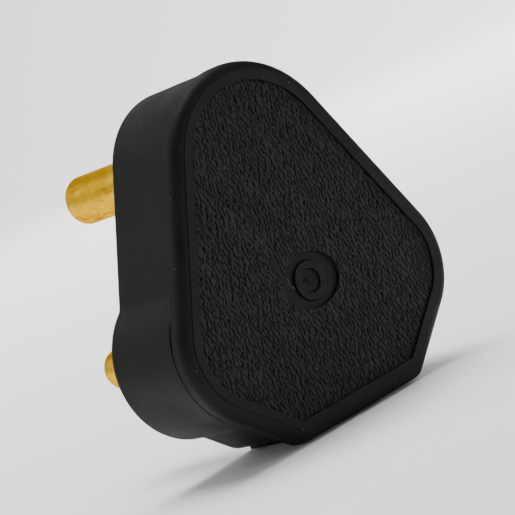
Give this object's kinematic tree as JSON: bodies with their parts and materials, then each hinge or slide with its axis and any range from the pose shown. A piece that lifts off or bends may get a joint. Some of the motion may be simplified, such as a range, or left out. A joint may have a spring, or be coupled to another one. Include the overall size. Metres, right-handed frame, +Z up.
{
  "type": "round pin rubber plug top",
  "caption": "Rewirable black rubber plug with a grained cover, round brass pins for a wall socket, a cord hole in its foot and a cord clamp inside.",
  "frame": {"origin": "on the pin face, midway between the line and neutral pins", "axes": "+Y along the pins towards their tips, +Z up from the lower pins to the earth pin, +X to the right seen from the cover"},
  "size_m": [0.06, 0.0497, 0.0612],
  "materials": {
    "black_rubber": "matt moulded",
    "pin_brass": "turned, slightly tarnished",
    "bright_brass": "turned",
    "plated_steel": "zinc plated",
    "spring_steel": "dull",
    "carrier_nylon": "moulded",
    "clamp_nylon": "moulded"
  },
  "bodies": {
    "root": {"base_shell": "black_rubber", "cord_clamp_bar": "clamp_nylon", "cord_clamp_nut_left": "plated_steel", "cord_clamp_nut_right": "plated_steel", "cord_clamp_screw_left": "plated_steel", "cord_clamp_screw_right": "plated_steel", "cover_lid": "black_rubber", "cover_screw": "plated_steel", "cover_screw_bush": "bright_brass", "earth_pin": "pin_brass", "earth_pin_clip": "spring_steel", "earth_terminal_screw": "bright_brass", "line_pin": "pin_brass", "line_pin_clip": "spring_steel", "line_terminal_screw": "bright_brass", "neutral_pin": "pin_brass", "neutral_pin_clip": "spring_steel", "neutral_terminal_screw": "bright_brass", "pin_carrier": "carrier_nylon"}
  },
  "joints": []
}
